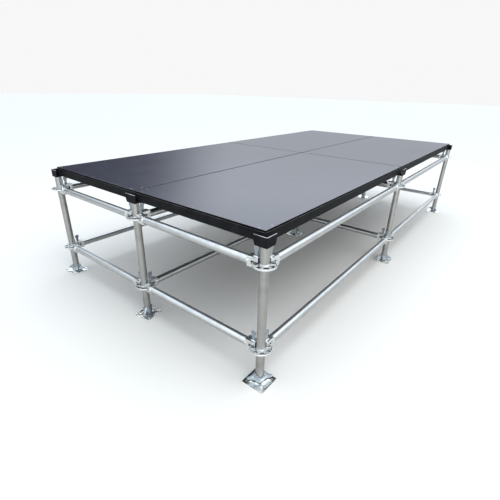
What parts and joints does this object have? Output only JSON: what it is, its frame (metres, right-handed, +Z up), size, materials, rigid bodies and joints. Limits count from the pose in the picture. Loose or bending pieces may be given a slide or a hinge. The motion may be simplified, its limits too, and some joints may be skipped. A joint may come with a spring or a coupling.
{
  "type": "stage riser platform",
  "caption": "Modular stage riser: framed plywood decks in black channel heads on a wedge-locked tube frame with screw jack feet.",
  "frame": {"origin": "on the ground under the middle standard, which is the centre of the footprint", "axes": "+Z up, +Y along the long side, +X along the short side"},
  "size_m": [2.14, 4.166, 0.898],
  "materials": {
    "galvanised_steel": "hot-dip galvanised, satin with a faint spangle",
    "galvanised_casting": "galvanised casting, slightly rough",
    "black_frame": "satin black coating",
    "film_plywood": "dark film facing with a fine anti-slip texture"
  },
  "bodies": {
    "feet": {"jack_screw_front_left": "galvanised_steel", "jack_screw_front_middle": "galvanised_steel", "jack_screw_front_right": "galvanised_steel", "jack_screw_centre_left": "galvanised_steel", "jack_screw_centre_middle": "galvanised_steel", "jack_screw_centre_right": "galvanised_steel", "jack_screw_back_left": "galvanised_steel", "jack_screw_back_middle": "galvanised_steel", "jack_screw_back_right": "galvanised_steel"},
    "frame": {"standard_front_left": "galvanised_steel", "standard_front_middle": "galvanised_steel", "standard_front_right": "galvanised_steel", "standard_centre_left": "galvanised_steel", "standard_centre_middle": "galvanised_steel", "standard_centre_right": "galvanised_steel", "standard_back_left": "galvanised_steel", "standard_back_middle": "galvanised_steel", "standard_back_right": "galvanised_steel", "ledger_lower_front_left": "galvanised_steel", "ledger_lower_front_right": "galvanised_steel", "ledger_lower_centre_left": "galvanised_steel", "ledger_lower_centre_right": "galvanised_steel", "ledger_lower_back_left": "galvanised_steel", "ledger_lower_back_right": "galvanised_steel", "ledger_lower_left_front": "galvanised_steel", "ledger_lower_left_back": "galvanised_steel", "ledger_lower_middle_front": "galvanised_steel", "ledger_lower_middle_back": "galvanised_steel", "ledger_lower_right_front": "galvanised_steel", "ledger_lower_right_back": "galvanised_steel", "ledger_upper_front_left": "galvanised_steel", "ledger_upper_front_right": "galvanised_steel", "ledger_upper_centre_left": "galvanised_steel", "ledger_upper_centre_right": "galvanised_steel", "ledger_upper_back_left": "galvanised_steel", "ledger_upper_back_right": "galvanised_steel", "ledger_upper_left_front": "galvanised_steel", "ledger_upper_left_back": "galvanised_steel", "ledger_upper_middle_front": "galvanised_steel", "ledger_upper_middle_back": "galvanised_steel", "ledger_upper_right_front": "galvanised_steel", "ledger_upper_right_back": "galvanised_steel"},
    "nut_front_left": {"wing_nut_front_left": "galvanised_casting"},
    "nut_front_middle": {"wing_nut_front_middle": "galvanised_casting"},
    "nut_front_right": {"wing_nut_front_right": "galvanised_casting"},
    "nut_centre_left": {"wing_nut_centre_left": "galvanised_casting"},
    "nut_centre_middle": {"wing_nut_centre_middle": "galvanised_casting"},
    "nut_centre_right": {"wing_nut_centre_right": "galvanised_casting"},
    "nut_back_left": {"wing_nut_back_left": "galvanised_casting"},
    "nut_back_middle": {"wing_nut_back_middle": "galvanised_casting"},
    "nut_back_right": {"wing_nut_back_right": "galvanised_casting"},
    "deck_front_left": {"deck_frame_front_left": "black_frame", "deck_board_front_left": "film_plywood"},
    "deck_front_right": {"deck_frame_front_right": "black_frame", "deck_board_front_right": "film_plywood"},
    "deck_back_left": {"deck_frame_back_left": "black_frame", "deck_board_back_left": "film_plywood"},
    "deck_back_right": {"deck_frame_back_right": "black_frame", "deck_board_back_right": "film_plywood"}
  },
  "joints": [
    {"name": "stage_height", "type": "slide", "parent": "feet", "child": "frame", "axis": [0, 0, 1], "range_m": [0, 0.25]},
    {"name": "nut_turn_front_left", "type": "hinge", "parent": "frame", "child": "nut_front_left", "pos_m": [-1, -2, 0.037], "axis": [0, 0, 1], "range_deg": [0, 11250]},
    {"name": "nut_turn_front_middle", "type": "hinge", "parent": "frame", "child": "nut_front_middle", "pos_m": [0, -2, 0.037], "axis": [0, 0, 1], "range_deg": [0, 11250]},
    {"name": "nut_turn_front_right", "type": "hinge", "parent": "frame", "child": "nut_front_right", "pos_m": [1, -2, 0.037], "axis": [0, 0, 1], "range_deg": [0, 11250]},
    {"name": "nut_turn_centre_left", "type": "hinge", "parent": "frame", "child": "nut_centre_left", "pos_m": [-1, 0, 0.037], "axis": [0, 0, 1], "range_deg": [0, 11250]},
    {"name": "nut_turn_centre_middle", "type": "hinge", "parent": "frame", "child": "nut_centre_middle", "pos_m": [0, 0, 0.037], "axis": [0, 0, 1], "range_deg": [0, 11250]},
    {"name": "nut_turn_centre_right", "type": "hinge", "parent": "frame", "child": "nut_centre_right", "pos_m": [1, 0, 0.037], "axis": [0, 0, 1], "range_deg": [0, 11250]},
    {"name": "nut_turn_back_left", "type": "hinge", "parent": "frame", "child": "nut_back_left", "pos_m": [-1, 2, 0.037], "axis": [0, 0, 1], "range_deg": [0, 11250]},
    {"name": "nut_turn_back_middle", "type": "hinge", "parent": "frame", "child": "nut_back_middle", "pos_m": [0, 2, 0.037], "axis": [0, 0, 1], "range_deg": [0, 11250]},
    {"name": "nut_turn_back_right", "type": "hinge", "parent": "frame", "child": "nut_back_right", "pos_m": [1, 2, 0.037], "axis": [0, 0, 1], "range_deg": [0, 11250]},
    {"name": "deck_lift_front_left", "type": "slide", "parent": "frame", "child": "deck_front_left", "axis": [0, 0, 1], "range_m": [0, 0.1]},
    {"name": "deck_lift_front_right", "type": "slide", "parent": "frame", "child": "deck_front_right", "axis": [0, 0, 1], "range_m": [0, 0.1]},
    {"name": "deck_lift_back_left", "type": "slide", "parent": "frame", "child": "deck_back_left", "axis": [0, 0, 1], "range_m": [0, 0.1]},
    {"name": "deck_lift_back_right", "type": "slide", "parent": "frame", "child": "deck_back_right", "axis": [0, 0, 1], "range_m": [0, 0.1]}
  ],
  "couplings": [
    {"joint": "nut_turn_front_left", "follows": "stage_height", "rad_per_m": 785.4},
    {"joint": "nut_turn_front_middle", "follows": "stage_height", "rad_per_m": 785.4},
    {"joint": "nut_turn_front_right", "follows": "stage_height", "rad_per_m": 785.4},
    {"joint": "nut_turn_centre_left", "follows": "stage_height", "rad_per_m": 785.4},
    {"joint": "nut_turn_centre_middle", "follows": "stage_height", "rad_per_m": 785.4},
    {"joint": "nut_turn_centre_right", "follows": "stage_height", "rad_per_m": 785.4},
    {"joint": "nut_turn_back_left", "follows": "stage_height", "rad_per_m": 785.4},
    {"joint": "nut_turn_back_middle", "follows": "stage_height", "rad_per_m": 785.4},
    {"joint": "nut_turn_back_right", "follows": "stage_height", "rad_per_m": 785.4}
  ]
}
